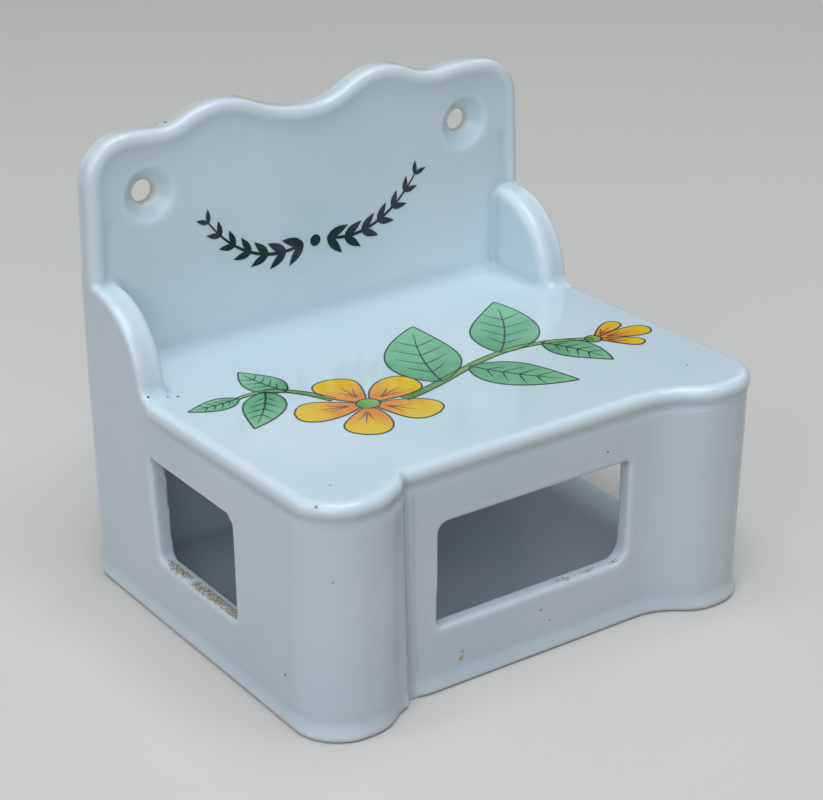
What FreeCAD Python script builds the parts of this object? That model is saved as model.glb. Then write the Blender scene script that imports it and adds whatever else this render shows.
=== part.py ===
import FreeCAD, Part
import math
import os

# Wall-hung porcelain matchbox holder: a box with a shelf on top, a scalloped back plate with two
# screw holes, and two quarter-round cheeks. Eight pieces are luted together at their flat joints.
# The frame has X to the right, Y to the wall and Z up. Its origin is under the middle of the object.
# "Out" is a distance from the wall towards the user, and "inset" one from an outline inwards.
Vector = FreeCAD.Vector
X_AXIS = Vector(1, 0, 0)

# Box: plan sizes at the rolled edge of the shelf, and the walls' lean towards the foot
width = 125.8
depth = 103.7
wall_thickness = 4.2
side_draft = 0.4
front_draft = 1.3
lobe_radius = 12.0
lobe_flat = 1.6
quarter_arcs = 4
cove_radius = 16.9
panel_setback = 6.9

# Floor slab, with its flared foot and the shallow recess inside its foot ring
floor_thickness = 4.4
foot_band = 1.2
foot_flare = 0.6
foot_bevel = 0.6
foot_ring = 6.0
foot_recess = 0.6

# Shelf slab, which leans back to the wall, with a rolled edge and a cove under the roll
shelf_back_height = 56.0
shelf_tilt = 1.87
shelf_thickness = 5.0
roll_radius = 2.2
roll_overhang = 0.4
roll_band = 8.0

# Windows in the front and left walls, and the loading opening in the right wall
window_sill = 16.6
window_head = 10.8
front_window_post = 2.8
left_window_near = 31.2
left_window_width = 34.9
left_window_slant = 2.0
loading_near = 16.2
loading_width = 66.0

# Roundings of the hand-cut corners, anticlockwise from the lower right one as seen from outside
front_window_roundings = (3.6, 1.2, 2.4, 1.4)
left_window_roundings = (1.2, 2.8, 1.2, 2.4)
loading_rounding = 2.5

# Back plate: raised rim, recessed field, and the scalloped top edge from the middle outwards, its
# scallops shifted to the left
field_thickness = 5.2
rim_height = 1.0
rim_crest = 2.6
rim_slope = 2.0
rim_rounding = 1.8
back_bevel = 0.8
plate_taper = 1.7
hump_height = 116.4
hump_inset = 39.5
hump_shift = 2.4
middle_drop = 5.9
dip_drop = 4.0
dip_inset = 23.4
shoulder_rise = 0.6
shoulder_inset = 14.6
top_corner_radius = 11.0

# Countersunk screw holes in the plate
screw_drop = 19.4
screw_inset = 17.0
screw_hole_diameter = 5.4
countersink_diameter = 13.6
screw_land = 1.9

# Cheeks between the plate and the shelf, and the hollow that softens the corner between them
cheek_thickness = 7.5
cheek_radius = 20.6
cheek_rise = 1.2
cheek_toe_radius = 3.0
cheek_toe_edge = 0.3
cheek_outer_bevel = 0.7
cheek_inner_rounding = 2.4
hollow_leg = 2.6
hollow_edge = 0.15

# Room by which a cutting shape runs past what it cuts
overrun = 10.0

# Sizes that follow from those above
plate_thickness = field_thickness + rim_height
tilt_slope = math.tan(math.radians(shelf_tilt))
joint_half = width / 2 - roll_overhang
joint_front = depth - roll_overhang
panel_front = joint_front - panel_setback
joint_height = shelf_back_height - shelf_thickness + (panel_front - plate_thickness) * tilt_slope
window_top = joint_height - window_head
cheek_centre_height = shelf_back_height + cheek_rise
cheek_top = cheek_centre_height + cheek_radius
cheek_inner = joint_half - cheek_thickness
screw_height = hump_height - screw_drop


def y_at(out):
    """The Y coordinate of a distance from the wall."""
    return depth / 2 - out


def polar(centre, radius, degrees):
    angle = math.radians(degrees)
    return centre + Vector(radius * math.cos(angle), radius * math.sin(angle), 0)


def arc(centre, radius, start, stop):
    """An arc of a flat outline, as its two ends and its edge, from one angle to another in degrees."""
    first = polar(centre, radius, start)
    last = polar(centre, radius, stop)
    middle = polar(centre, radius, (start + stop) / 2)
    return first, last, Part.Arc(first, middle, last).toShape()


def path(items):
    """The edges of a flat line through points and arcs, with straight runs between them."""
    edges = []
    here = None
    for item in items:
        first, last, edge = item if isinstance(item, tuple) else (item, item, None)
        if here is not None and here.distanceToPoint(first) > 1e-6:
            edges.append(Part.LineSegment(here, first).toShape())
        if edge is not None:
            edges.append(edge)
        here = last
    return edges


def closed_wire(items):
    first = items[0][0] if isinstance(items[0], tuple) else items[0]
    return Part.Wire(path(items + [first]))


def prism(wire, travel):
    return Part.Face(wire).extrude(travel)


def block(x0, x1, out0, out1, z0, z1):
    """A box between two distances across, from the wall and upwards."""
    return Part.makeBox(x1 - x0, out1 - out0, z1 - z0, Vector(x0, y_at(out1), z0))


def quarter_turn(centre, radius, start):
    """A quarter of a circle, clockwise from an angle, as a few short arcs."""
    step = 90 / quarter_arcs
    return [arc(centre, radius, start - i * step, start - (i + 1) * step) for i in range(quarter_arcs)]


def plan_arcs(half, front, inset, height):
    """The arcs of a plan outline in three runs: the right lobe, the front's two coves, and the left lobe.

    Each front corner is a lobe, which swings through a cove into the front panel set back between them.
    """
    reach = lobe_radius + cove_radius
    apex = half - lobe_radius - lobe_flat
    lobe_y = y_at(front - lobe_radius)
    cove_x = apex - math.sqrt(reach**2 - (reach - panel_setback)**2)
    cove_y = y_at(front - panel_setback + cove_radius)
    turn = math.degrees(math.atan2(cove_y - lobe_y, cove_x - apex))
    convex = lobe_radius - inset
    concave = cove_radius + inset
    right_lobe = quarter_turn(Vector(half - lobe_radius, lobe_y, height), convex, 0)
    right_lobe.append(arc(Vector(apex, lobe_y, height), convex, -90, turn))
    coves = [
        arc(Vector(cove_x, cove_y, height), concave, turn + 180, 90),
        arc(Vector(-cove_x, cove_y, height), concave, 90, -turn),
    ]
    left_lobe = [arc(Vector(-apex, lobe_y, height), convex, -180 - turn, -90)]
    left_lobe += quarter_turn(Vector(lobe_radius - half, lobe_y, height), convex, -90)
    return right_lobe, coves, left_lobe


def plan_wire(half, front, inset, height, back):
    """A closed plan outline that ends in a straight back edge at a distance from the wall."""
    right_end = Vector(half - inset, y_at(back), height)
    left_end = Vector(inset - half, y_at(back), height)
    right_lobe, coves, left_lobe = plan_arcs(half, front, inset, height)
    return closed_wire([right_end] + right_lobe + coves + left_lobe + [left_end])


def wall_size(height):
    """Half the width and the front of the walls at a height; they lean out from the floor to the shelf."""
    rise = (height - floor_thickness) / (joint_height - floor_thickness)
    return joint_half - side_draft * (1 - rise), joint_front - front_draft * (1 - rise)


def panel_half(height):
    """Half the width of the flat front panel at a height."""
    half, front = wall_size(height)
    coves = plan_arcs(half, front, 0, height)[1]
    return coves[0][1].x


def lean(shape):
    """Turns a shape that was drawn with the top of the shelf at zero into the shelf's leaning place."""
    shape.rotate(Vector(0, y_at(plate_thickness), 0), X_AXIS, -shelf_tilt)
    shape.translate(Vector(0, 0, shelf_back_height))
    return shape


def backwards(arcs):
    """The same run of arcs, followed from its other end."""
    return [(last, first, edge) for first, last, edge in reversed(arcs)]


def mirrored(shape):
    return shape.mirror(Vector(0, 0, 0), X_AXIS)


def above_joint():
    """All the room above the underside of the shelf."""
    return lean(block(-width, width, -overrun, depth + overrun, -shelf_thickness, hump_height))


def plate_room():
    """All the room behind the front of the back plate."""
    return block(-width, width, -overrun, plate_thickness, -overrun, hump_height)


def side_section(height):
    """Plan section of the right wall: a straight side and the corner lobe, up to the cove."""
    half, front = wall_size(height)
    outer = plan_arcs(half, front, 0, height)[0]
    inner = backwards(plan_arcs(half, front, wall_thickness, height)[0])
    outer_back = Vector(half, y_at(plate_thickness), height)
    inner_back = Vector(half - wall_thickness, y_at(plate_thickness), height)
    return closed_wire([outer_back] + outer + inner + [inner_back])


def front_section(height):
    """Plan section of the front wall: the flat panel between its two coves."""
    half, front = wall_size(height)
    outer = plan_arcs(half, front, 0, height)[1]
    inner = backwards(plan_arcs(half, front, wall_thickness, height)[1])
    return closed_wire(outer + inner)


def wall_body(section):
    """A wall lofted from its plan section on the floor up to the underside of the shelf."""
    body = Part.makeLoft([section(floor_thickness), section(joint_height + overrun)], True, True)
    return body.cut(above_joint())


def window_cutter(corners, roundings, length):
    """A prism over a flat outline of straight sides, with a rounding of its own in each corner."""
    cutter = prism(closed_wire(corners), Vector(0, 0, length))
    for corner, rounding in zip(corners, roundings):
        upright = corner + Vector(0, 0, length / 2)
        edges = [e for e in cutter.Edges if e.BoundBox.Center.distanceToPoint(upright) < 1e-6]
        cutter = cutter.makeFillet(rounding, edges)
    return cutter


def facing_front(shape, out):
    """Stands a flat drawing up, its own X across and its own Y upwards, at a distance from the wall."""
    shape.rotate(Vector(0, 0, 0), X_AXIS, 90)
    shape.translate(Vector(0, y_at(out), 0))
    return shape


def facing_side(shape, x):
    """Stands a flat drawing up, its own X out from the wall and its own Y upwards, at a distance across."""
    turn = FreeCAD.Rotation(Vector(0, -1, 0), Vector(0, 0, 1), Vector(-1, 0, 0), "ZXY")
    shape.Placement = FreeCAD.Placement(Vector(x, y_at(0), 0), turn)
    return shape


def make_floor():
    """Floor slab: bevelled under its edge, flared at the foot and drawn in to meet the walls."""
    half, front = wall_size(floor_thickness)
    foot_half = half + foot_flare
    foot_front = front + foot_flare
    foot = prism(plan_wire(foot_half, foot_front, 0, 0, plate_thickness), Vector(0, 0, foot_band))
    back = y_at(plate_thickness) - 1e-6
    low_edges = [e for e in foot.Edges if e.BoundBox.ZMax < 1e-6 and e.BoundBox.YMin < back]
    foot = foot.makeChamfer(foot_bevel, low_edges)
    lower = plan_wire(foot_half, foot_front, 0, foot_band, plate_thickness)
    upper = plan_wire(half, front, 0, floor_thickness, plate_thickness)
    slab = foot.fuse(Part.makeLoft([lower, upper], True, True))
    hollow = plan_wire(foot_half, foot_front, foot_ring, 0, plate_thickness + foot_ring)
    return slab.cut(prism(hollow, Vector(0, 0, foot_recess))).removeSplitter()


def make_front_wall():
    """Front wall with its window, which leaves a narrow post on each side of the flat panel."""
    half = panel_half(window_sill) - front_window_post
    corners = [
        Vector(half, window_sill, 0),
        Vector(half, window_top, 0),
        Vector(-half, window_top, 0),
        Vector(-half, window_sill, 0),
    ]
    cutter = window_cutter(corners, front_window_roundings, 2 * overrun)
    return wall_body(front_section).cut(facing_front(cutter, panel_front - overrun))


def side_cut(near, span, bottom, slant, roundings):
    """The prism that cuts an opening in the right wall; its end by the plate may slant."""
    corners = [
        Vector(near + span, bottom, 0),
        Vector(near + span, window_top, 0),
        Vector(near - slant, window_top, 0),
        Vector(near, bottom, 0),
    ]
    cutter = window_cutter(corners, roundings, 2 * overrun + wall_thickness)
    return facing_side(cutter, joint_half + overrun)


def make_left_wall():
    """Left wall and its corner lobe, with a window to push the box through."""
    near, span = left_window_near, left_window_width
    window = side_cut(near, span, window_sill, left_window_slant, left_window_roundings)
    return mirrored(wall_body(side_section).cut(window))


def make_right_wall():
    """Right wall and its corner lobe, open down to the floor so that a box can be slid in."""
    opening = side_cut(loading_near, loading_width, floor_thickness - overrun, 0, [loading_rounding] * 4)
    return wall_body(side_section).cut(opening)


def roll_profile(x, out):
    """Section of the shelf's edge at its left end: a roll, a cove under it, and a flat over the wall.

    The roll and the cove turn through the same angle, which sets the overhang.
    """
    bend = math.degrees(math.acos(1 - roll_overhang / (2 * roll_radius)))
    roll = Vector(roll_radius, -roll_radius, 0)
    cove = polar(roll, 2 * roll_radius, 180 + bend)
    section = closed_wire([
        Vector(roll_band, 0, 0),
        arc(roll, roll_radius, 90, 180 + bend),
        arc(cove, roll_radius, bend, 0),
        Vector(roll_overhang, -shelf_thickness, 0),
        Vector(roll_band, -shelf_thickness, 0),
    ])
    facing_front(section, out)
    section.translate(Vector(x, 0, 0))
    return section


def make_shelf():
    """Shelf slab: square and flush beside the cheeks, rolled from their toes round the front."""
    toe = cheek_reach()
    half = width / 2
    left_toe = Vector(-half, y_at(toe), 0)
    right_toe = Vector(half, y_at(toe), 0)
    right_lobe, coves, left_lobe = plan_arcs(half, depth, 0, 0)
    spine = Part.Wire(path([left_toe] + backwards(right_lobe + coves + left_lobe) + [right_toe]))
    roll = spine.makePipeShell([roll_profile(-half, toe)], True, False)
    core = prism(plan_wire(half, depth, roll_band / 2, 0, toe), Vector(0, 0, -shelf_thickness))
    rear = block(-joint_half, joint_half, plate_thickness - overrun, toe, -shelf_thickness, 0)
    slab = lean(roll.fuse([core, rear]).removeSplitter())
    return slab.cut(plate_room()).fuse(shelf_hollow()).removeSplitter()


def cheek_toe_centre():
    """Centre of the toe's hollow, which is tangent to the cheek's round and stands just over the shelf."""
    height = shelf_back_height + cheek_radius * tilt_slope + cheek_toe_edge + cheek_toe_radius
    drop = height - cheek_centre_height
    out = plate_thickness + math.sqrt((cheek_radius + cheek_toe_radius)**2 - drop**2)
    return Vector(out, height, 0)


def cheek_reach():
    """How far out from the wall the cheek's toe ends."""
    return cheek_toe_centre().x


def side_line(inset):
    """The plate's right edge above the cheek, drawn inset: a point of it, its direction and its normal."""
    angle = math.radians(plate_taper)
    along = Vector(-math.sin(angle), math.cos(angle), 0)
    outwards = Vector(math.cos(angle), math.sin(angle), 0)
    return Vector(joint_half, cheek_top, 0) - outwards * inset, along, outwards


def side_point(inset, height):
    """A point of the plate's right edge at a height, drawn inset."""
    start, along, outwards = side_line(inset)
    return start + along * ((height - start.y) / along.y)


def swing(across, drop):
    """Sum of the radii of two arcs that run smoothly into each other, their level points so far apart."""
    return (across**2 + drop**2) / (2 * drop)


def top_half(inset, shift):
    """Arcs of the right half of the plate's top edge from its corner to the middle, shifted outwards."""
    hump_x = joint_half - hump_inset + shift
    dip_x = joint_half - dip_inset + shift
    shoulder_x = joint_half - shoulder_inset + shift
    dip_height = hump_height - dip_drop
    inner_swing = swing(hump_x, middle_drop)
    outer_swing = swing(dip_x - hump_x, dip_drop)
    hump_radius = inner_swing * outer_swing / (inner_swing + outer_swing)
    middle_radius = inner_swing - hump_radius
    dip_radius = outer_swing - hump_radius
    shoulder_radius = swing(shoulder_x - dip_x, shoulder_rise) - dip_radius
    middle = Vector(0, hump_height - middle_drop + middle_radius, 0)
    hump = Vector(hump_x, hump_height - hump_radius, 0)
    dip = Vector(dip_x, dip_height + dip_radius, 0)
    shoulder = Vector(shoulder_x, dip_height + shoulder_rise - shoulder_radius, 0)
    start, along, outwards = side_line(top_corner_radius)
    gap = start - shoulder
    lead = -gap.dot(along)
    spread = shoulder_radius - top_corner_radius
    corner = start + along * (lead + math.sqrt(lead**2 - gap.dot(gap) + spread**2))

    def heading(a, b):
        return math.degrees(math.atan2(b.y - a.y, b.x - a.x))

    to_corner = heading(shoulder, corner)
    to_dip = heading(shoulder, dip)
    from_hump = heading(hump, dip)
    from_middle = heading(middle, hump)
    return [
        arc(corner, top_corner_radius - inset, plate_taper, to_corner),
        arc(shoulder, shoulder_radius - inset, to_corner, to_dip),
        arc(dip, dip_radius + inset, to_dip - 180, from_hump - 180),
        arc(hump, hump_radius - inset, from_hump, from_middle + 180),
        arc(middle, middle_radius + inset, from_middle, -90),
    ]


def top_arcs(inset):
    """Arcs of the plate's top edge from right to left: corner, shoulder, dip, hump, middle and so on."""
    left_half = []
    for first, last, edge in reversed(top_half(inset, hump_shift)):
        flipped = mirrored(edge)
        left_half.append((Vector(-last.x, last.y, 0), Vector(-first.x, first.y, 0), flipped))
    return top_half(inset, -hump_shift) + left_half


def upper_outline(inset, bottom):
    """The plate's outline above a height, drawn inset from its sides and its scalloped top."""
    right = side_point(inset, bottom)
    return closed_wire([right] + top_arcs(inset) + [Vector(-right.x, right.y, 0)])


def lower_outline(inset):
    """The plate's outline from its foot to the top of the cheeks, flush with the foot and the side walls."""
    wall_half = wall_size(floor_thickness)[0]
    right = [
        Vector(wall_half + foot_flare - foot_bevel - inset, 0, 0),
        Vector(wall_half + foot_flare - inset, foot_bevel, 0),
        Vector(wall_half + foot_flare - inset, foot_band, 0),
        Vector(wall_half - inset, floor_thickness, 0),
        Vector(joint_half - inset, shelf_back_height, 0),
        Vector(joint_half - inset, cheek_top, 0),
    ]
    left = [Vector(-p.x, p.y, 0) for p in reversed(right)]
    return closed_wire(right + left)


def outline_edges(shape, out):
    """Edges that lie at a distance from the wall, apart from level straight ones."""
    y = y_at(out)
    flat = [e for e in shape.Edges if abs(e.BoundBox.YMin - y) + abs(e.BoundBox.YMax - y) < 1e-6]
    return [e for e in flat if e.BoundBox.ZLength > 1e-3]


def screw_hole(x):
    """A screw hole that widens from a short land at the wall into its countersink."""
    front = Vector(0, -1, 0)
    radius = screw_hole_diameter / 2
    sink_depth = field_thickness - screw_land
    land = Part.makeCylinder(radius, 2 * overrun, Vector(x, y_at(-overrun), screw_height), front)
    mouth = Vector(x, y_at(screw_land), screw_height)
    return land.fuse(Part.makeCone(radius, countersink_diameter / 2, sink_depth, mouth, front))


def make_back_plate():
    """Back plate: a raised rim round a recessed field over the shelf, and the box's rear wall under it."""
    forward = Vector(0, -plate_thickness, 0)
    upper = prism(facing_front(upper_outline(0, cheek_top), 0), forward)
    upper = upper.makeFillet(rim_rounding, outline_edges(upper, plate_thickness))
    upper = upper.makeChamfer(back_bevel, outline_edges(upper, 0))
    bevel_front = facing_front(lower_outline(0), back_bevel)
    bevel = Part.makeLoft([facing_front(lower_outline(back_bevel), 0), bevel_front], True, True)
    lower = bevel.fuse(prism(bevel_front, Vector(0, back_bevel - plate_thickness, 0)))
    slope = rim_slope / rim_height
    mouth_inset = rim_crest - slope * rim_height
    mouth = facing_front(upper_outline(mouth_inset, shelf_back_height), plate_thickness + rim_height)
    bed = facing_front(upper_outline(rim_crest + rim_slope, shelf_back_height), field_thickness)
    field = Part.makeLoft([mouth, bed], True, True)
    hole_x = joint_half - screw_inset
    return upper.fuse(lower).removeSplitter().cut([field, screw_hole(hole_x), screw_hole(-hole_x)])


def shelf_hollow():
    """The fillet strip that softens the corner between the plate's field and the shelf."""
    corner = Vector(field_thickness, shelf_back_height, 0)
    out = Vector(1, 0, 0)
    up = Vector(0, 1, 0)
    centre = corner + (out + up) * hollow_leg
    section = closed_wire([
        corner,
        corner + out * hollow_leg,
        arc(centre, hollow_leg - hollow_edge, 270, 180),
        corner + up * hollow_leg,
    ])
    return prism(facing_side(section, -cheek_inner), Vector(2 * cheek_inner, 0, 0))


def cheek_half(profile, x, thickness):
    """Half of a cheek's thickness, from its face at a distance across, and that face's crest edges."""
    body = prism(facing_side(profile, x), Vector(thickness, 0, 0))
    crest = []
    for edge in body.Edges:
        box = edge.BoundBox
        on_face = abs(box.XMin - x) + abs(box.XMax - x) < 1e-6
        in_front = box.YMax < y_at(plate_thickness) + 1e-6
        if on_face and in_front and edge.Curve.TypeId == "Part::GeomCircle":
            crest.append(edge)
    return body, crest


def make_right_cheek(plate):
    """Quarter-round cheek, flush with the plate's edge and hollowed at its toe.

    Its crest is round on the inner face and bevelled on the outer one.
    """
    toe = cheek_toe_centre()
    centre = Vector(plate_thickness, cheek_centre_height, 0)
    tangent = math.degrees(math.atan2(toe.y - centre.y, toe.x - centre.x))
    root = field_thickness - rim_height
    profile = closed_wire([
        Vector(root, cheek_top, 0),
        arc(centre, cheek_radius, 90, tangent),
        arc(toe, cheek_toe_radius, tangent + 180, 270),
        Vector(toe.x, shelf_back_height - overrun, 0),
        Vector(root, shelf_back_height - overrun, 0),
    ])
    inner, inner_crest = cheek_half(profile, cheek_inner, cheek_thickness / 2)
    outer, outer_crest = cheek_half(profile, joint_half, -cheek_thickness / 2)
    inner = inner.makeFillet(cheek_inner_rounding, inner_crest)
    outer = outer.makeChamfer(cheek_outer_bevel, outer_crest)
    above = block(0, width, 0, depth, shelf_back_height, hump_height)
    below = lean(block(-width, width, -overrun, depth + overrun, -shelf_back_height, 0))
    return inner.fuse(outer).removeSplitter().common(above).cut(below).cut(plate)


plate = make_back_plate()
right_cheek = make_right_cheek(plate)
pieces = {
    "back_plate": plate,
    "floor_plate": make_floor(),
    "front_wall": make_front_wall(),
    "left_wall": make_left_wall(),
    "right_wall": make_right_wall(),
    "shelf": make_shelf(),
    "left_cheek": mirrored(right_cheek),
    "right_cheek": right_cheek,
}

os.makedirs("parts", exist_ok=True)
for name, piece in pieces.items():
    piece.exportStep("parts/" + name + ".step")
    box = piece.BoundBox
    print(name, len(piece.Solids), "solid", piece.isValid(), round(piece.Volume), "mm3",
          [round(v, 2) for v in (box.XMin, box.XMax, box.YMin, box.YMax, box.ZMin, box.ZMax)])
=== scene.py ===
import math

import bmesh
import bpy
import numpy as np
from mathutils import Matrix, Vector
from mathutils.bvhtree import BVHTree


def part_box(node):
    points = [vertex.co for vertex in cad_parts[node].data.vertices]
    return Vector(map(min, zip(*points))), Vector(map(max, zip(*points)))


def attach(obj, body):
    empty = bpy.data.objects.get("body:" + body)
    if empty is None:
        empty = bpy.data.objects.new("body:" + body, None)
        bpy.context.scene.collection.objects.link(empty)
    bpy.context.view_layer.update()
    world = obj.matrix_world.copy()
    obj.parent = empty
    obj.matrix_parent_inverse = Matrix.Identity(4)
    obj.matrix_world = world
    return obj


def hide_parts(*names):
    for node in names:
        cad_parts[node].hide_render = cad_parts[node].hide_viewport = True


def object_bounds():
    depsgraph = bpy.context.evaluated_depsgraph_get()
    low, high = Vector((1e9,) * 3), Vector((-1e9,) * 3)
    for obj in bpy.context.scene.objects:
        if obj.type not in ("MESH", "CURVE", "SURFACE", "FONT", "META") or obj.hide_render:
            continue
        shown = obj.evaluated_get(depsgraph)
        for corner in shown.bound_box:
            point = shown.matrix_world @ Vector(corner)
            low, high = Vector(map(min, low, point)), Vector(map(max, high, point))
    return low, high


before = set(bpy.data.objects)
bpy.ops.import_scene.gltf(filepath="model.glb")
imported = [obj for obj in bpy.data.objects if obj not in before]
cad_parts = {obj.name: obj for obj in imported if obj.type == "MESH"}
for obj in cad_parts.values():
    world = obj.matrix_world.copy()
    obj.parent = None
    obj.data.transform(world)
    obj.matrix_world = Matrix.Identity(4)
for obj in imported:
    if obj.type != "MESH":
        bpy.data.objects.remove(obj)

# The whole body: eight slip-cast clay pieces luted together, then dipped in one coat of clear glaze.
# The glaze rounds every edge and fills every inner corner, so the skin is drawn once over the joined
# pieces, softened, and then parted near the joints into one piece for each part.
MM = 0.001
cad_box = [list(corner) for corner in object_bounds()]
SAME_POINT = 0.001 * MM
SKIN_SPACING = 0.6 * MM
SOFTENING = 0.5
SOFTENING_PASSES = 3


def link(name, data):
    """A new object with a mesh, curve, lamp or camera, in the scene."""
    piece = bpy.data.objects.new(name, data)
    bpy.context.scene.collection.objects.link(piece)
    return piece


def evaluated(piece):
    """The piece's mesh with its modifiers applied; the piece itself is removed."""
    graph = bpy.context.evaluated_depsgraph_get()
    mesh = bpy.data.meshes.new_from_object(piece.evaluated_get(graph))
    bpy.data.objects.remove(piece)
    return mesh


def joined_body():
    """Copies of all the clay pieces in one mesh, each with its corners merged."""
    body = bmesh.new()
    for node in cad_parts.values():
        shell = bmesh.new()
        shell.from_mesh(node.data)
        bmesh.ops.remove_doubles(shell, verts=shell.verts, dist=SAME_POINT)
        copy = bpy.data.meshes.new(node.name + "_copy")
        shell.to_mesh(copy)
        shell.free()
        body.from_mesh(copy)
        bpy.data.meshes.remove(copy)
    mesh = bpy.data.meshes.new("joined_clay")
    body.to_mesh(mesh)
    body.free()
    return mesh


def point_values(mesh, label):
    """The place or the normal of every point, one row each."""
    values = np.empty(len(mesh.vertices) * 3)
    mesh.vertices.foreach_get(label, values)
    return values.reshape(-1, 3)


def move_points(mesh, place):
    """Puts the points of a mesh where the rows say."""
    mesh.vertices.foreach_set("co", np.ravel(place))
    mesh.update()


def neighbour_mean(mesh):
    """A function that gives every point the mean of a value at its neighbours."""
    count = len(mesh.vertices)
    ends = np.empty(len(mesh.edges) * 2, dtype=np.int32)
    mesh.edges.foreach_get("vertices", ends)
    first, last = ends[0::2], ends[1::2]
    neighbours = np.bincount(ends, minlength=count)

    def mean(values):
        """The mean of the values at each point's neighbours."""
        total = np.bincount(first, values[last], count) + np.bincount(last, values[first], count)
        return total / neighbours

    return mean


# The crease in the left front cove, where lobe and panel are luted: its middle at the shelf and at the
# foot, its reach to the lobe and to the panel, its depth if it were sharp, and its depth as it is
CREASE_TOP = 56.0
CREASE_TOP_X = -37.0
CREASE_FOOT_X = -34.4
CREASE_TO_LOBE = 2.4
CREASE_TO_PANEL = 6.4
CREASE_DEPTH = 1.5
CREASE_BOTTOM = 1.15
# The lobe's flank beside the crease is this much fuller, at this distance, over this reach
FLANK_SWELL = 0.45
FLANK_FROM_CREASE = 2.9
FLANK_REACH = 1.6
# The crease is in the walls in front of this line, in full where they face the front by this much
CREASE_FRONT = -38.0
CREASE_FACING = 0.6
# Above this height it is in the shelf's edge instead: where that starts, and over what depth it fades in
SHELF_EDGE_Z = 54.5
SHELF_EDGE_Y = -40.0
SHELF_EDGE_FADE = 3.0


def pinch_cove(mesh):
    """Draws the left front cove in to a crease beside a fuller lobe, and the shelf's roll with it."""
    place = point_values(mesh, "co") / MM
    facing = -point_values(mesh, "normal")[:, 1]
    across = place[:, 0] - np.interp(place[:, 2], (0, CREASE_TOP), (CREASE_FOOT_X, CREASE_TOP_X))
    reach = np.where(across < 0, CREASE_TO_LOBE, CREASE_TO_PANEL)
    push = CREASE_DEPTH * np.clip(1 - np.abs(across) / reach, 0, 1) ** 2
    push = np.minimum(push, CREASE_BOTTOM)
    push -= FLANK_SWELL * np.exp(-((across + FLANK_FROM_CREASE) / FLANK_REACH) ** 2)
    front_face = np.clip(facing / CREASE_FACING, 0, 1) * (place[:, 1] < CREASE_FRONT)
    shelf_edge = np.clip((SHELF_EDGE_Y - place[:, 1]) / SHELF_EDGE_FADE, 0, 1)
    place[:, 1] += push * np.where(place[:, 2] > SHELF_EDGE_Z, shelf_edge, front_face)
    move_points(mesh, place * MM)


# The line under the shelf's roll: its height at the plate, from which it rises with the shelf, its depth
# and half its width, where it ends at the back and over what length, and its share at the right lobe
plate_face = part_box("left_wall")[1].y / MM
SHELF_SLOPE = math.tan(math.radians(1.87))
ROLL_FOOT_AT_PLATE = 51.4
ROLL_LINE_DEPTH = 0.32
ROLL_LINE_HALF = 1.1
ROLL_LINE_END = 22.0
ROLL_LINE_FADE = 8.0
ROLL_LINE_RIGHT = 0.35
RIGHT_LOBE_FROM = 38.0
RIGHT_LOBE_TO = 54.0


def undercut_roll(mesh):
    """Sinks a soft line into the walls under the shelf's roll, on the outside."""
    place = point_values(mesh, "co")
    normal = point_values(mesh, "normal")
    x, y, z = place.T / MM
    roll_foot = ROLL_FOOT_AT_PLATE + (plate_face - y) * SHELF_SLOPE
    outside = x * normal[:, 0] + y * normal[:, 1] > 0
    share = outside * np.clip((ROLL_LINE_END - y) / ROLL_LINE_FADE, 0, 1)
    depth = ROLL_LINE_DEPTH * np.interp(x, (RIGHT_LOBE_FROM, RIGHT_LOBE_TO), (1, ROLL_LINE_RIGHT))
    push = depth * np.exp(-((z - roll_foot) / ROLL_LINE_HALF) ** 2) * share
    move_points(mesh, place - normal * push[:, None] * MM)


# The radius of the plate's lower back edge
HEEL_RADIUS = 8.0


def round_heel(mesh):
    """Rounds the plate's lower back edge."""
    place = point_values(mesh, "co") / MM
    out = place[:, 1] - (cad_box[1][1] / MM - HEEL_RADIUS)
    down = HEEL_RADIUS - place[:, 2]
    reach = np.hypot(out, down)
    corner = (out > 0) & (down > 0) & (reach > HEEL_RADIUS)
    pull = corner * (1 - HEEL_RADIUS / np.maximum(reach, HEEL_RADIUS))
    place[:, 1] -= out * pull
    place[:, 2] += down * pull
    move_points(mesh, place * MM)


# The plate's field beside its rim: how often it is levelled, how squarely it faces the front, how far it
# lies behind the rim's crest, and where it starts
RIM_PASSES = 60
FIELD_FACING = 0.8
FIELD_BEHIND_CREST = 0.08
FIELD_FROM_Z = 66.0
# The screw holes, and what stays crisp: a ring round each hole, and the plate beside the cheeks
HOLE_ACROSS = 45.5
HOLE_HEIGHT = 97.0
HOLE_RING = 8.4
CHEEK_SIDE_X = 48.0
CHEEK_SIDE_Z = 92.0


def soften_rim(mesh):
    """Lets the plate's rim run out softly over its field; the screw holes and the cheeks stay crisp."""
    place = point_values(mesh, "co")
    facing = -point_values(mesh, "normal")[:, 1]
    mean = neighbour_mean(mesh)
    x, y, z = place.T / MM
    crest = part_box("back_plate")[0].y / MM
    from_hole = np.hypot(np.abs(x) - HOLE_ACROSS, z - HOLE_HEIGHT)
    field = (facing > FIELD_FACING) & (y > crest + FIELD_BEHIND_CREST) & (z > FIELD_FROM_Z)
    field &= (from_hole > HOLE_RING) & ((z > CHEEK_SIDE_Z) | (np.abs(x) < CHEEK_SIDE_X))
    depth = place[:, 1].copy()
    for _ in range(RIM_PASSES):
        depth = np.where(field, mean(depth), depth)
    place[:, 1] = depth
    move_points(mesh, place)


# The slight hollows of a hand-finished cast: their depth, and wave lengths in millimetres with directions
UNEVENNESS = 0.11 * MM
UNEVEN_WAVES = (
    (31, (1.0, 0.3, 0.5)),
    (43, (-0.4, 1.0, 0.2)),
    (27, (0.2, -0.5, 1.0)),
    (57, (0.7, 0.8, -0.6)),
)


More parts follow.
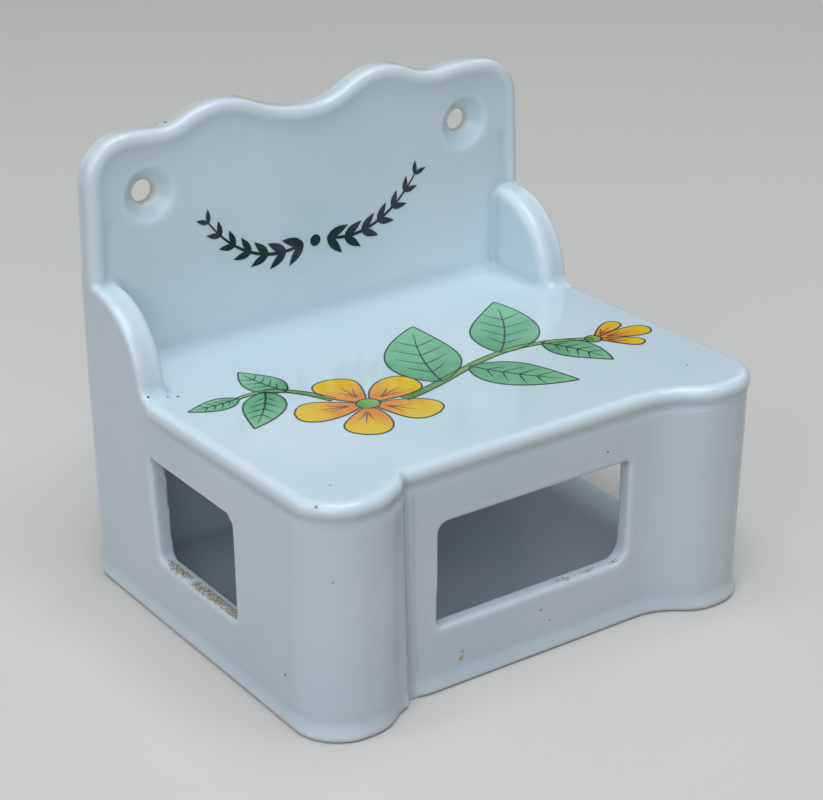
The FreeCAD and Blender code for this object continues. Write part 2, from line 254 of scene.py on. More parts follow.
def uneven(mesh):
    """Sinks the skin by a fraction of a millimetre in long soft waves, so that it stays in its box."""
    place = point_values(mesh, "co")
    normal = point_values(mesh, "normal")
    wave = np.zeros(len(place))
    for length, direction in UNEVEN_WAVES:
        along = Vector(direction).normalized()
        wave += np.sin(place @ np.array(along) * (2 * math.pi / (length * MM)) + length)
    depth = UNEVENNESS * (1 + wave / len(UNEVEN_WAVES)) / 2
    move_points(mesh, place - normal * depth[:, None])


# The skin is levelled this often to find its hollows, and this far below the level one counts as full
HOLLOW_PASSES = 8
HOLLOW_DEPTH = 0.18 * MM


def mark_hollows(mesh):
    """Stores how deep each point lies in a hollow, from 0 to 1, or down to -1 on an edge."""
    place = point_values(mesh, "co")
    mean = neighbour_mean(mesh)
    level = place.copy()
    for _ in range(HOLLOW_PASSES):
        level = np.stack([mean(axis) for axis in level.T], axis=1)
    depth = np.sum((level - place) * point_values(mesh, "normal"), axis=1) / HOLLOW_DEPTH
    mesh.attributes.new("hollow", "FLOAT", "POINT")
    mesh.attributes["hollow"].data.foreach_set("value", np.clip(depth, -1, 1))


skin = link("glazed_skin", joined_body())
remesh = skin.modifiers.new("skin", "REMESH")
remesh.mode = "VOXEL"
remesh.voxel_size = SKIN_SPACING
skin = link("glazed_skin", evaluated(skin))
pinch_cove(skin.data)
undercut_roll(skin.data)
round_heel(skin.data)
soften_rim(skin.data)
soften = skin.modifiers.new("glaze", "SMOOTH")
soften.factor = SOFTENING
soften.iterations = SOFTENING_PASSES
skin = link("glazed_skin", evaluated(skin))
uneven(skin.data)
mark_hollows(skin.data)
skin_tree = BVHTree.FromObject(skin, bpy.context.evaluated_depsgraph_get())


# Glazed porcelain: a vitreous white body under a clear, slightly blue glaze, glossy and even, with a
# little light passing through the skin. The glaze gathers in hollows and is thin on edges; the colour there
# also paints shade into the hollows and a highlight onto the edges.
GLAZE_COLOUR = "DFEAEE"
GLAZE_POOL_COLOUR = "D6E4EA"
# Hollows: pooled glaze with painted shade; edges: thin glaze with a painted highlight
POOLED_GLAZE_AND_SHADE_COLOUR = "CCDCE4"
THIN_GLAZE_AND_HIGHLIGHT_COLOUR = "E5EEF2"
GLAZE_ROUGHNESS = 0.1
GLAZE_IOR = 1.52
# Soft clouds in the coat, and its orange peel, in millimetres
CLOUD_SIZE = 45.0
CLOUD_RANGE = (0.35, 0.62)
PEEL_SIZE = 2.2
PEEL_HEIGHT = 0.1
PEEL_STRENGTH = 0.04
# From where to where an edge turns pale, with thinner glaze and a painted highlight, and a hollow turns
# blue, with pooled glaze and painted shade
THIN_GLAZE_AND_HIGHLIGHT_RANGE = (-0.1, -0.8)
POOL_AND_SHADE_RANGE = (0.1, 1.0)
# The share of light that goes into the skin, and how far in millimetres
TRANSLUCENCY = 0.12
TRANSLUCENT_DEPTH = 1.5
# Sockets of a Mix node for colours, by number because their names repeat
MIX_SHARE = 0
MIX_FROM = 6
MIX_TO = 7
MIX_RESULT = 2


def srgb(code):
    """A hex colour as linear red, green, blue and alpha."""
    channels = [int(code[i:i + 2], 16) / 255 for i in (0, 2, 4)]
    return [c / 12.92 if c <= 0.04045 else ((c + 0.055) / 1.055) ** 2.4 for c in channels] + [1.0]


def add(tree, kind, links=None, **settings):
    """Adds a node: settings are its properties, links its inputs, each with a socket or a value."""
    node = tree.nodes.new(kind)
    for name, value in settings.items():
        setattr(node, name, value)
    for socket, value in (links or {}).items():
        if isinstance(value, bpy.types.NodeSocket):
            tree.links.new(value, node.inputs[socket])
        else:
            node.inputs[socket].default_value = value
    return node


def new_material(name):
    """A material with nothing but its output, and its node tree."""
    material = bpy.data.materials.new(name)
    material.use_nodes = True
    tree = material.node_tree
    tree.nodes.clear()
    output = add(tree, "ShaderNodeOutputMaterial")
    return material, tree, output


def per_mm(size):
    """The texture scale that gives features of a size in millimetres."""
    return 1 / (size * MM)


# Bare clay shows where the glaze is worn off the plate: its colour, the size of its patches, the noise
# at which a patch starts and is full, and the least and the most of it
BARE_CLAY_COLOUR = "C9BDA3"
BARE_CLAY_ROUGHNESS = 0.55
WEAR_SIZE = 9.0
WEAR_RANGE = (0.3, 0.6)
WEAR_LEAST = 0.35
WEAR_MOST = 0.75
# The worn edge: how far it faces up, where it starts at the back, the top and the left, and how soon
# it is full
WORN_FACING = (0.35, 0.8)
WORN_FROM_Y = 46.8
WORN_FROM_Z = 108.0
WORN_FADE = 2.0
WORN_TO_X = -16.0
WORN_FADE_LEFT = 18.0
# The stain in a screw hole: how far from the hole's middle it ends, and is full
STAIN_END = 3.6
STAIN_FULL = 2.6


def worn_plate(tree, place):
    """Share of bare clay on the plate: on the back of its top edge at the left, and in its screw holes."""
    noise = add(tree, "ShaderNodeTexNoise", {"Vector": place, "Scale": per_mm(WEAR_SIZE), "Detail": 4.0})
    axes = add(tree, "ShaderNodeSeparateXYZ", {"Vector": place})
    normal = add(tree, "ShaderNodeNewGeometry").outputs["Normal"]
    facing = add(tree, "ShaderNodeSeparateXYZ", {"Vector": normal})
    shares = []
    for value, start, stop, least in (
        (noise.outputs["Fac"], *WEAR_RANGE, WEAR_LEAST),
        (facing.outputs["Z"], *WORN_FACING, 0.0),
        (axes.outputs["Y"], WORN_FROM_Y * MM, (WORN_FROM_Y + WORN_FADE) * MM, 0.0),
        (axes.outputs["X"], WORN_TO_X * MM, (WORN_TO_X - WORN_FADE_LEFT) * MM, WEAR_LEAST),
        (axes.outputs["Z"], WORN_FROM_Z * MM, (WORN_FROM_Z + WORN_FADE) * MM, 0.0),
    ):
        ramp = {"Value": value, "From Min": start, "From Max": stop, "To Min": least}
        shares.append(add(tree, "ShaderNodeMapRange", ramp).outputs["Result"])
    patchy = shares[0]
    edge = patchy
    for share in shares[1:]:
        edge = add(tree, "ShaderNodeMath", {0: edge, 1: share}, operation="MULTIPLY").outputs["Value"]
    across = add(tree, "ShaderNodeMath", {0: axes.outputs["X"]}, operation="ABSOLUTE").outputs["Value"]
    flat_place = add(tree, "ShaderNodeCombineXYZ", {"X": across, "Z": axes.outputs["Z"]})
    centre = Vector((HOLE_ACROSS, 0, HOLE_HEIGHT)) * MM
    away = add(tree, "ShaderNodeVectorMath", {0: flat_place.outputs[0], 1: centre}, operation="DISTANCE")
    hole = add(tree, "ShaderNodeMapRange", {
        "Value": away.outputs["Value"],
        "From Min": STAIN_END * MM,
        "From Max": STAIN_FULL * MM,
    }).outputs["Result"]
    stain = add(tree, "ShaderNodeMath", {0: hole, 1: patchy}, operation="MULTIPLY").outputs["Value"]
    both = add(tree, "ShaderNodeMath", {0: edge, 1: stain}, operation="MAXIMUM").outputs["Value"]
    return add(tree, "ShaderNodeMath", {0: both, 1: WEAR_MOST}, operation="MULTIPLY").outputs["Value"]


def glazed_porcelain(name, worn=None):
    """The glaze; worn, where given, is a function that adds the share of bare clay to the tree."""
    material, tree, output = new_material(name)
    place = add(tree, "ShaderNodeTexCoord").outputs["Object"]
    cloud = add(tree, "ShaderNodeTexNoise", {"Vector": place, "Scale": per_mm(CLOUD_SIZE), "Detail": 3.0})
    tint = add(tree, "ShaderNodeValToRGB", {"Fac": cloud.outputs["Fac"]})
    cloud_tones = (GLAZE_POOL_COLOUR, GLAZE_COLOUR)
    for element, position, tone in zip(tint.color_ramp.elements, CLOUD_RANGE, cloud_tones):
        element.position = position
        element.color = srgb(tone)
    peel = add(tree, "ShaderNodeTexNoise", {"Vector": place, "Scale": per_mm(PEEL_SIZE), "Detail": 1.0})
    bump = add(tree, "ShaderNodeBump", {
        "Height": peel.outputs["Fac"],
        "Strength": PEEL_STRENGTH,
        "Distance": PEEL_HEIGHT * MM,
    })
    hollow = add(tree, "ShaderNodeAttribute", attribute_name="hollow").outputs["Fac"]
    colour = tint.outputs["Color"]
    # Edges are paled and hollows blued: partly the glaze's own thinning and pooling, partly a painted
    # highlight and painted shade
    for (start, stop), tone in ((THIN_GLAZE_AND_HIGHLIGHT_RANGE, THIN_GLAZE_AND_HIGHLIGHT_COLOUR), (POOL_AND_SHADE_RANGE, POOLED_GLAZE_AND_SHADE_COLOUR)):
        share = add(tree, "ShaderNodeMapRange", {"Value": hollow, "From Min": start, "From Max": stop})
        mix = {MIX_SHARE: share.outputs["Result"], MIX_FROM: colour, MIX_TO: srgb(tone)}
        colour = add(tree, "ShaderNodeMix", mix, data_type="RGBA").outputs[MIX_RESULT]
    roughness = GLAZE_ROUGHNESS
    if worn:
        share = worn(tree, place)
        mix = {MIX_SHARE: share, MIX_FROM: colour, MIX_TO: srgb(BARE_CLAY_COLOUR)}
        colour = add(tree, "ShaderNodeMix", mix, data_type="RGBA").outputs[MIX_RESULT]
        roughness = add(tree, "ShaderNodeMapRange", {
            "Value": share,
            "To Min": GLAZE_ROUGHNESS,
            "To Max": BARE_CLAY_ROUGHNESS,
        }).outputs["Result"]
    shader = add(tree, "ShaderNodeBsdfPrincipled", {
        "Base Color": colour,
        "Roughness": roughness,
        "IOR": GLAZE_IOR,
        "Subsurface Weight": TRANSLUCENCY,
        "Subsurface Radius": (1.0, 1.0, 1.0),
        "Subsurface Scale": TRANSLUCENT_DEPTH * MM,
        "Normal": bump.outputs["Normal"],
    })
    tree.links.new(shader.outputs["BSDF"], output.inputs["Surface"])
    return material


glaze = glazed_porcelain("glazed_porcelain")
worn_glaze = glazed_porcelain("worn_glazed_porcelain", worn_plate)

# The eight pieces: each takes the soft inner corner at its joint with it, so that a joint lies on plain
# wall, just clear of the corner. Floor, walls, shelf, plate and cheeks meet there edge to edge.
CORNER = 1.3
SHELF_THICKNESS = 5.0
CHEEK_INNER = 52.0
plate_front = plate_face - CORNER
floor_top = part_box("floor_plate")[1].z / MM + CORNER
shelf_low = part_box("shelf")[0].z / MM - CORNER
shelf_high = shelf_low + SHELF_THICKNESS + 2 * CORNER
# Where the front wall meets a side wall, on the outside and on the inside, and a line across the bay
COVE_JOINT_OUTER = Vector((41.0, -48.2))
COVE_JOINT_INNER = Vector((43.8, -44.9))
BAY_FRONT = -36.9
# Well outside the object, on every side
FAR = 90.0
X_AXIS = 0
Z_AXIS = 2
# Faces that meet at more than this keep a crisp edge
JOINT_ANGLE = math.radians(60)


def zone(points, axis, start, stop):
    """A prism, in millimetres, over a flat outline: points give the two other coordinates in order."""
    cell = bmesh.new()
    rings = []
    for level in (start, stop):
        ring = []
        for a, b in points:
            place = [a, b]
            place.insert(axis, level)
            ring.append(cell.verts.new(Vector(place) * MM))
        rings.append(ring)
    cell.faces.new(rings[0])
    cell.faces.new(rings[1])
    for i in range(len(points)):
        j = (i + 1) % len(points)
        cell.faces.new((rings[0][i], rings[0][j], rings[1][j], rings[1][i]))
    bmesh.ops.recalc_face_normals(cell, faces=cell.faces)
    mesh = bpy.data.meshes.new("zone")
    cell.to_mesh(mesh)
    cell.free()
    return link("zone", mesh)


def parted(name, zones):
    """The part of the skin that lies inside all the zones, closed at the joints."""
    piece = link(name, skin.data.copy())
    for cell in zones:
        cut = piece.modifiers.new("joint", "BOOLEAN")
        cut.operation = "INTERSECT"
        cut.solver = "MANIFOLD"
        cut.object = cell
    piece = link(name, evaluated(piece))
    for cell in zones:
        bpy.data.objects.remove(cell)
    return piece


def leaning(height, y):
    """The height of a plane that leans with the shelf, from its height at the plate."""
    return height + (plate_face - y) * SHELF_SLOPE


def layer(low, high, low_leans, high_leans):
    """Corners, in Y and Z, of everything in front of the plate between two heights."""
    low_front = leaning(low, -FAR) if low_leans else low
    low_back = leaning(low, plate_front) if low_leans else low
    high_front = leaning(high, -FAR) if high_leans else high
    high_back = leaning(high, plate_front) if high_leans else high
    return [(-FAR, low_front), (plate_front, low_back), (plate_front, high_back), (-FAR, high_front)]


def finish(piece, material):
    """Smooths a piece's faces up to its edges, and gives it its material, body and slot."""
    piece.data.polygons.foreach_set("use_smooth", [True] * len(piece.data.polygons))
    piece.data.set_sharp_from_angle(angle=JOINT_ANGLE)
    piece.data.materials.clear()
    piece.data.materials.append(material)
    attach(piece, "root")


slant = (COVE_JOINT_INNER.x - COVE_JOINT_OUTER.x) / (COVE_JOINT_INNER.y - COVE_JOINT_OUTER.y)
joint_front = COVE_JOINT_OUTER.x + (-FAR - COVE_JOINT_OUTER.y) * slant
joint_back = COVE_JOINT_OUTER.x + (BAY_FRONT - COVE_JOINT_OUTER.y) * slant
front_plan = [(-joint_front, -FAR), (joint_front, -FAR), (joint_back, BAY_FRONT), (-joint_back, BAY_FRONT)]
right_plan = [
    (joint_front, -FAR),
    (FAR, -FAR),
    (FAR, FAR),
    (0, FAR),
    (0, BAY_FRONT),
    (joint_back, BAY_FRONT),
]
left_plan = [(-x, y) for x, y in right_plan]
plate_layer = [(plate_front, -FAR), (FAR, -FAR), (FAR, 2 * FAR), (plate_front, 2 * FAR)]
floor_layer = layer(-FAR, floor_top, False, False)
wall_layer = layer(floor_top, shelf_low, False, True)
shelf_layer = layer(shelf_low, shelf_high, True, True)
cheek_layer = layer(shelf_high, FAR, True, False)
parts = {
    "back_plate": [zone(plate_layer, X_AXIS, -FAR, FAR)],
    "floor_plate": [zone(floor_layer, X_AXIS, -FAR, FAR)],
    "front_wall": [zone(wall_layer, X_AXIS, -FAR, FAR), zone(front_plan, Z_AXIS, 0, FAR)],
    "left_wall": [zone(wall_layer, X_AXIS, -FAR, FAR), zone(left_plan, Z_AXIS, 0, FAR)],
    "right_wall": [zone(wall_layer, X_AXIS, -FAR, FAR), zone(right_plan, Z_AXIS, 0, FAR)],
    "shelf": [zone(shelf_layer, X_AXIS, -FAR, FAR)],
    "left_cheek": [zone(cheek_layer, X_AXIS, -FAR, -CHEEK_INNER)],
    "right_cheek": [zone(cheek_layer, X_AXIS, CHEEK_INNER, FAR)],
}
for node, zones in parts.items():
    piece = parted("glazed_" + node, zones)
    finish(piece, worn_glaze if node == "back_plate" else glaze)
    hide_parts(node)
bpy.data.objects.remove(skin)

# Print on the shelf: a flowering sprig in ceramic colours, with a dark outline transferred from a plate
# and the colours laid in by hand. It is fired into the glaze, so it is as glossy and all but flat.
LEAF_COLOURS = ("5FA877", "8CCB9C")
STEM_COLOURS = ("5E9A45", "93C06A")
PETAL_COLOURS = ("F08A2C", "F6C81F")
PETAL_RAMP = (0.15, 0.75)
OUTLINE_COLOUR = "33473F"
OUTLINE_WIDTH = 0.42
FILM_THICKNESS = 0.06
LEAF_LIFT = 0.02
STEM_LIFT = 0.026
PETAL_LIFT = 0.032
LINE_LIFT = 0.045
BRUSH_SIZE = 5.0
BRUSH_SPREAD = 0.9
# Points closer than this in a drawing are merged, and a shorter edge is dropped
DRAWN_POINT = 0.002 * MM
DRAWN_EDGE = 0.001 * MM


def curve_points(controls, count):
    """Points along a Bezier curve of any degree through its first and last control."""
    line = []
    for i in range(count):
        t = i / (count - 1)
        points = [Vector(control) for control in controls]
        while len(points) > 1:
            points = [a.lerp(b, t) for a, b in zip(points, points[1:])]
        line.append(points[0])
    return line


def side_steps(line):
    """The unit step to the left of a flat line at each of its points."""
    steps = []
    for i in range(len(line)):
        ahead = line[min(i + 1, len(line) - 1)] - line[max(i - 1, 0)]
        steps.append(Vector((-ahead.y, ahead.x)).normalized())
    return steps


def ribbon(line, half_widths, rows):
    """A flat patch along a line: its points, faces, and each point's share along and across."""
    points, faces, along, across = [], [], [], []
    for i, (place, step, half) in enumerate(zip(line, side_steps(line), half_widths)):
        for j in range(rows + 1):
            points.append(place + step * half * (2 * j / rows - 1))
            along.append(i / (len(line) - 1))
            across.append(2 * j / rows - 1)
    for i in range(len(line) - 1):
        for j in range(rows):
            a = i * (rows + 1) + j
            faces.append((a, a + 1, a + rows + 2, a + rows + 1))
    return points, faces, along, across


def edges_of(line, half_widths):
    """The two edge lines of a ribbon."""
    steps = side_steps(line)
    return [[p + n * h * sign for p, n, h in zip(line, steps, half_widths)] for sign in (-1, 1)]


def flat_mesh(name, patches):
    """Flat patches, in millimetres, as one mesh in metres with their shares along and across."""
    shell = bmesh.new()
    layers = [shell.verts.layers.float.new(label) for label in ("along", "across")]
    for points, faces, *shares in patches:
        verts = [shell.verts.new((point.x * MM, point.y * MM, 0)) for point in points]
        for layer_key, values in zip(layers, shares):
            for vert, value in zip(verts, values):
                vert[layer_key] = value
        for face in faces:
            shell.faces.new([verts[i] for i in face])
    bmesh.ops.remove_doubles(shell, verts=shell.verts, dist=DRAWN_POINT)
    bmesh.ops.dissolve_degenerate(shell, edges=shell.edges, dist=DRAWN_EDGE)
    mesh = bpy.data.meshes.new(name)
    shell.to_mesh(mesh)
    shell.free()
    return mesh


def film(mesh, lift, ground, material, crown=0.0):
    """A thin film over a flat mesh, on the glaze that a function finds under each of its points."""
    across = mesh.attributes.get("across")
    for vert in mesh.vertices:
        place, normal = ground(vert.co / MM)
        rise = crown * (1 - across.data[vert.index].value ** 2) if across else 0.0
        vert.co = place + normal * (lift + rise) * MM
    piece = link(mesh.name, mesh)
    solid = piece.modifiers.new("film", "SOLIDIFY")
    solid.thickness = FILM_THICKNESS * MM
    solid.offset = -1.0
    piece = link(mesh.name, evaluated(piece))
    finish(piece, material)


def on_shelf(point):
    """The place and normal of the shelf's skin under a point of the plan, in millimetres."""
    start = Vector((point.x, point.y, FAR)) * MM
    return skin_tree.ray_cast(start, Vector((0, 0, -1)))[:2]


def ceramic_colour(name, colours, ramp=(0.0, 1.0), roughness=GLAZE_ROUGHNESS):
    """A fired-in colour that runs from one tone to another along the patch, with uneven brushing."""
    material, tree, output = new_material(name)
    place = add(tree, "ShaderNodeTexCoord").outputs["Object"]
    brush = add(tree, "ShaderNodeTexNoise", {"Vector": place, "Scale": per_mm(BRUSH_SIZE), "Detail": 4.0})
    along = add(tree, "ShaderNodeAttribute", attribute_name="along")
    shift = add(tree, "ShaderNodeMath", {
        0: brush.outputs["Fac"],
        1: BRUSH_SPREAD,
        2: -BRUSH_SPREAD / 2,
    }, operation="MULTIPLY_ADD")
    share = add(tree, "ShaderNodeMath", {
        0: along.outputs["Fac"],
        1: shift.outputs["Value"],
    }, operation="ADD")
    tone = add(tree, "ShaderNodeValToRGB", {"Fac": share.outputs["Value"]})
    for element, position, colour in zip(tone.color_ramp.elements, ramp, colours):
        element.position = position
        element.color = srgb(colour)
    shader = add(tree, "ShaderNodeBsdfPrincipled", {
        "Base Color": tone.outputs["Color"],
        "Roughness": roughness,
        "IOR": GLAZE_IOR,
    })
    tree.links.new(shader.outputs["BSDF"], output.inputs["Surface"])
    return material


def ceramic_ink(name, colour):
    """A fired-in ink, the same all over."""
    material, tree, output = new_material(name)
    shader = add(tree, "ShaderNodeBsdfPrincipled", {
        "Base Color": srgb(colour),
        "Roughness": GLAZE_ROUGHNESS,
        "IOR": GLAZE_IOR,
    })
    tree.links.new(shader.outputs["BSDF"], output.inputs["Surface"])
    return material


leaf_green = ceramic_colour("ceramic_leaf_green", LEAF_COLOURS)
stem_green = ceramic_colour("ceramic_stem_green", STEM_COLOURS)
petal_yellow = ceramic_colour("ceramic_petal_yellow", PETAL_COLOURS, PETAL_RAMP)
outline_ink = ceramic_ink("ceramic_outline_ink", OUTLINE_COLOUR)


def tapered(width, count, start=0.25, stop=0.1):
    """Half-widths of a drawn line that swells from its start and thins to its end."""
    return [width / 2 * (start + (1 - start) * min(1, 4 * t)) * (1 - (1 - stop) * t * t)
            for t in (i / (count - 1) for i in range(count))]


def turned(point, degrees):
    """A flat point turned to the left about the origin."""
    angle = math.radians(degrees)
    return Vector((point.x * math.cos(angle) - point.y * math.sin(angle),
                   point.x * math.sin(angle) + point.y * math.cos(angle)))


leaf_patches = []
stem_patches = []
petal_patches = []
ink_patches = []


def outline(line, half_widths):
    """Inks both edges of a ribbon."""
    for edge in edges_of(line, half_widths):
        ink_patches.append(ribbon(edge, [OUTLINE_WIDTH / 2] * len(edge), 1))


def leaf(foot, heading, length, width, bend):
    """A pointed leaf with a midrib and side veins, from its foot in a heading in degrees."""
    count = 33
    controls = [Vector((0, 0)), Vector((length * 0.45, bend)), Vector((length, 0))]
    line = [foot + turned(p, heading) for p in curve_points(controls, count)]
    half_widths = [width / 2 * math.sin(math.pi * (i / (count - 1)) ** 0.8) ** 0.9 for i in range(count)]
    leaf_patches.append(ribbon(line, half_widths, 8))
    outline(line, half_widths)
    rib = line[:-4]
    ink_patches.append(ribbon(rib, tapered(OUTLINE_WIDTH * 1.3, len(rib), 1.0, 0.3), 1))
    steps = side_steps(line)
    for i in range(6, count - 8, 5):
        ahead = (line[i + 1] - line[i]).normalized()
        for side in (-1, 1):
            tip = line[i] + steps[i] * side * half_widths[i] * 0.72 + ahead * width * 0.26
            middle = line[i].lerp(tip, 0.5) - ahead * width * 0.03
            vein = curve_points([line[i], middle, tip], 9)
            ink_patches.append(ribbon(vein, tapered(OUTLINE_WIDTH, len(vein), 0.9, 0.2), 1))


def stem(controls, start_width, stop_width):
    """A stem along a curve, thinning towards its end; it gives back its line."""
    count = 41
    line = curve_points(controls, count)
    thinning = (stop_width - start_width) / (count - 1)
    half_widths = [(start_width + thinning * i) / 2 for i in range(count)]
    stem_patches.append(ribbon(line, half_widths, 2))
    outline(line, half_widths)
    return line


def petal(foot, heading, length, width, round_tip=3.0):
    """A rounded petal, orange at its foot and yellow at its rim, with three short lines."""
    count = 31
    bend = curve_points([Vector((0, 0)), Vector((length * 0.5, width * 0.1)), Vector((length, 0))], count)
    line = [foot + turned(p, heading) for p in bend]
    half_widths = [width / 2 * (0.12 + 0.88 * t ** 0.75) * math.sqrt(max(0, 1 - t ** round_tip)) * 1.18
                   for t in (i / (count - 1) for i in range(count))]
    petal_patches.append(ribbon(line, half_widths, 8))
    outline(line, half_widths)
    for spread in (-16, 0, 16):
        reach = length * (0.62 if spread == 0 else 0.5)
        mark = []
        for t in (0.3, 0.5, 0.7, 0.9, 1.0):
            mark.append(foot + turned(Vector((reach * t, 0)), heading + spread * t))
        ink_patches.append(ribbon(mark, tapered(OUTLINE_WIDTH * 0.8, len(mark), 0.8, 0.2), 1))


def disc(centre, radius):
    """A small round green dot with an outline."""
    count = 17
    angles = [math.pi * i / (count - 1) for i in range(count)]
    line = [centre - Vector((radius * math.cos(angle), 0)) for angle in angles]
    half_widths = [radius * math.sin(angle) for angle in angles]
    stem_patches.append(ribbon(line, half_widths, 6))
    outline(line, half_widths)


BLOSSOM = Vector((-22.0, -9.0))
PETAL_COUNT = 5
main_stem = stem([BLOSSOM + turned(Vector((8.5, 0)), -18), (6, -10), (20, 6), (43, -10)], 2.4, 1.4)
back_stem = stem([BLOSSOM + turned(Vector((8.5, 0)), 126), (-30, 6), (-34, 14), (-44, 12)], 2.0, 1.1)
leaf(main_stem[9], 66, 36, 18, 3.5)
leaf(main_stem[17], -56, 27, 13.5, -2.5)
leaf(main_stem[25], 56, 34, 17, -3.5)
leaf(main_stem[33], -70, 20, 10.0, 2.0)
leaf(back_stem[20], 100, 17, 9.0, 1.6)
leaf(back_stem[29], -128, 21, 10.0, 1.8)
leaf(back_stem[40], 178, 13, 6.5, 1.0)
for i in range(PETAL_COUNT):
    heading = 18 + 360 / PETAL_COUNT * i
    petal(BLOSSOM + turned(Vector((2.4, 0)), heading), heading, 15.0, 14.5)
disc(BLOSSOM, 2.8)
bud = main_stem[-1]
for heading, length, bud_width in ((-12, 14.0, 7.0), (24, 11.0, 5.2), (-48, 11.0, 5.2)):
    petal(bud + turned(Vector((1.6, 0)), heading), heading, length, bud_width, 5.0)
disc(bud, 2.1)
film(flat_mesh("shelf_print_leaves", leaf_patches), LEAF_LIFT, on_shelf, leaf_green)
film(flat_mesh("shelf_print_stems", stem_patches), STEM_LIFT, on_shelf, stem_green)
film(flat_mesh("shelf_print_petals", petal_patches), PETAL_LIFT, on_shelf, petal_yellow)
film(flat_mesh("shelf_print_outlines", ink_patches), LINE_LIFT, on_shelf, outline_ink)

# Print on the plate: two sprays of small pointed leaves that meet at a bead, in one dark ink that is
# transferred to the glaze and fired in. The leaves repeat in pairs along each spray's stem.
SPRAY_INK_COLOUR = "1F2B36"
SPRAY_HEIGHT = 80.5
SPRAY_STEM = ((3.5, -5.0), (13.0, -8.0), (23.0, -4.0), (30.0, 6.0))
SPRAY_STEM_WIDTH = 0.9
SPRAY_STEM_LIFT = 0.0675
SPRAY_LEAF_LENGTH = 6.6
SPRAY_LEAF_WIDTH = 2.3
SPRAY_LEAF_COUNT = 7
SPRAY_LEAF_ANGLE = 34.0
SPRAY_LAST_LEAF = 0.55
SPRAY_BEAD_RADIUS = 1.5
SPRAY_STEPS = 12


def on_plate(point):
    """The place and normal of the plate's field behind a point of the drawing, in millimetres."""
    start = Vector((point.x, 0, SPRAY_HEIGHT + point.y)) * MM
    return skin_tree.ray_cast(start, Vector((0, 1, 0)))[:2]


def geometry_tree(name, inputs):
    """A geometry tree with one geometry in and out, and named inputs; its ends are given back too."""
    tree = bpy.data.node_groups.new(name, "GeometryNodeTree")
    tree.interface.new_socket("Geometry", in_out="INPUT", socket_type="NodeSocketGeometry")
    for label, kind in inputs.items():
        tree.interface.new_socket(label, in_out="INPUT", socket_type=kind)
    tree.interface.new_socket("Geometry", in_out="OUTPUT", socket_type="NodeSocketGeometry")
    return tree, add(tree, "NodeGroupInput"), add(tree, "NodeGroupOutput")


def grown(piece, tree, values):
    """The mesh that a geometry tree makes of a piece, with its named inputs set."""
    modifier = piece.modifiers.new(tree.name, "NODES")
    modifier.node_group = tree
    for socket in tree.interface.items_tree:
        if socket.in_out == "INPUT" and socket.name in values:
            modifier[socket.identifier] = values[socket.name]
    return evaluated(piece)


def spray_tree():
    """Pairs of leaves along a stem, smaller towards its end."""
    tree, start, end = geometry_tree("spray", {
        "Leaf": "NodeSocketObject",
        "Count": "NodeSocketInt",
        "Angle": "NodeSocketFloat",
        "Last leaf": "NodeSocketFloat",
        "Material": "NodeSocketMaterial",
    })
    shape = add(tree, "GeometryNodeObjectInfo", {"Object": start.outputs["Leaf"]})
    along = add(tree, "GeometryNodeSplineParameter")
    kept = add(tree, "GeometryNodeCaptureAttribute", {"Geometry": start.outputs["Geometry"]})
    kept.capture_items.new("FLOAT", "along")
    tree.links.new(along.outputs["Factor"], kept.inputs["along"])
    points = add(tree, "GeometryNodeCurveToPoints", {
        "Curve": kept.outputs["Geometry"],
        "Count": start.outputs["Count"],
    }, mode="COUNT")
    forwards = add(tree, "FunctionNodeAlignRotationToVector", {
        "Vector": points.outputs["Tangent"],
    }, axis="X", pivot_axis="Z")
    size = add(tree, "ShaderNodeMapRange", {
        "Value": kept.outputs["along"],
        "To Min": 1.0,
        "To Max": start.outputs["Last leaf"],
    })
    both = add(tree, "GeometryNodeJoinGeometry")
    for side in (1, -1):
        angle = add(tree, "ShaderNodeMath", {0: start.outputs["Angle"], 1: side}, operation="MULTIPLY")
        turn = add(tree, "FunctionNodeAxisAngleToRotation", {
            "Axis": (0, 0, 1),
            "Angle": angle.outputs["Value"],
        })
        facing = add(tree, "FunctionNodeRotateRotation", {0: forwards.outputs[0], 1: turn.outputs[0]})
        leaves = add(tree, "GeometryNodeInstanceOnPoints", {
            "Points": points.outputs["Points"],
            "Instance": shape.outputs["Geometry"],
            "Rotation": facing.outputs[0],
            "Scale": size.outputs["Result"],
        })
        tree.links.new(leaves.outputs["Instances"], both.inputs["Geometry"])
    real = add(tree, "GeometryNodeRealizeInstances", {"Geometry": both.outputs["Geometry"]})
    inked = add(tree, "GeometryNodeSetMaterial", {
        "Geometry": real.outputs["Geometry"],
        "Material": start.outputs["Material"],
    })
    tree.links.new(inked.outputs["Geometry"], end.inputs["Geometry"])
    return tree


def flat_curve(name, line):
    """A curve object through points of a flat drawing in millimetres."""
    curve = bpy.data.curves.new(name, "CURVE")
    curve.dimensions = "3D"
    spline = curve.splines.new("POLY")
    spline.points.add(len(line) - 1)
    for point, place in zip(spline.points, line):
        point.co = (place.x * MM, place.y * MM, 0, 1)
    return link(name, curve)


